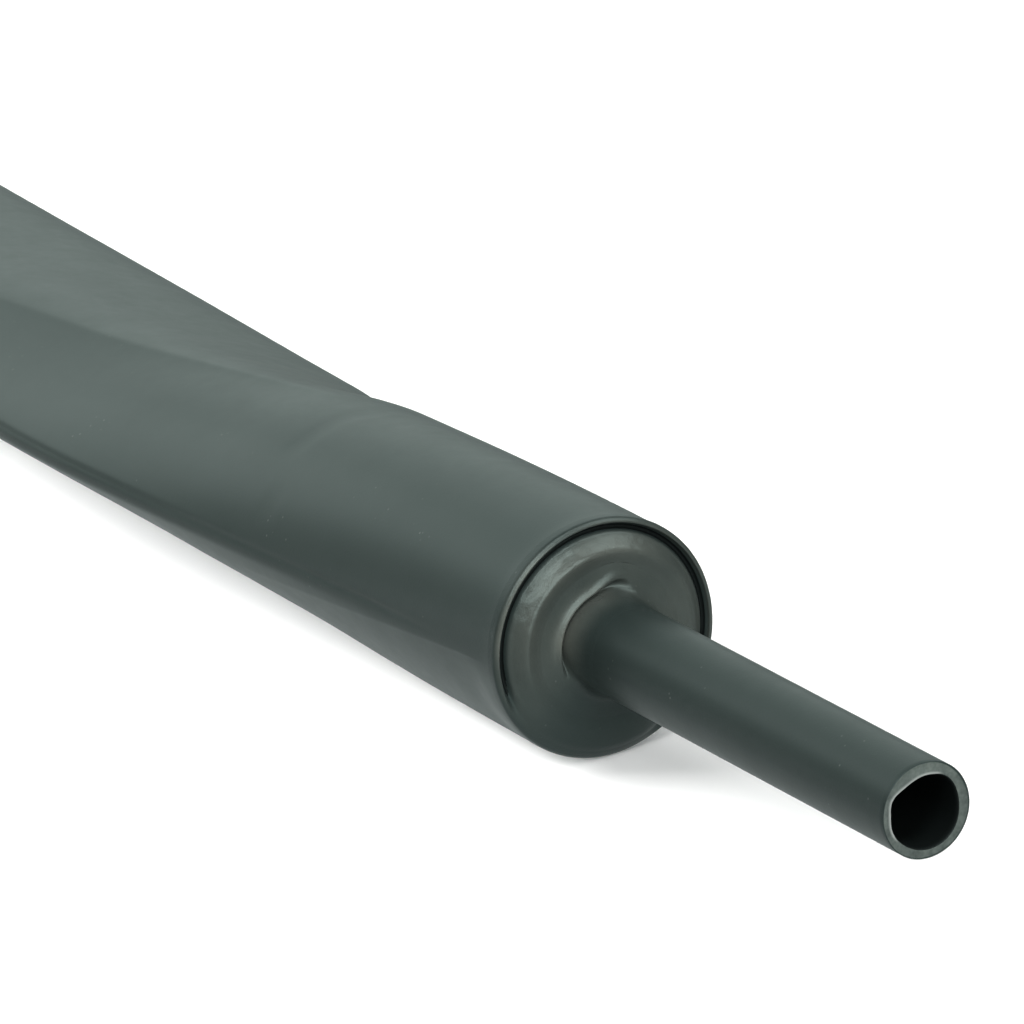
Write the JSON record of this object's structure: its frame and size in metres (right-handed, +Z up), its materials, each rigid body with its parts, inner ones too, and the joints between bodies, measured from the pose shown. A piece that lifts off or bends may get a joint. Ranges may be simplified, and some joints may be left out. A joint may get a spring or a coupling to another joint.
{
  "type": "heat shrink tube",
  "caption": "Thin-walled shrink tubing pressed flat for supply, round near one end, where it steps down at a flat shoulder to a narrow thick-walled neck already shrunk with heat",
  "frame": {"origin": "middle of the underside of the bounding box", "axes": "+X along the tube towards the narrow mouth, +Z up from the floor it lies on"},
  "size_m": [0.2988, 0.0374, 0.0196],
  "materials": {
    "polyolefin": "satin black, faintly scuffed and dusty"
  },
  "bodies": {
    "root": {"heat_shrink_tube": "polyolefin"}
  },
  "joints": []
}
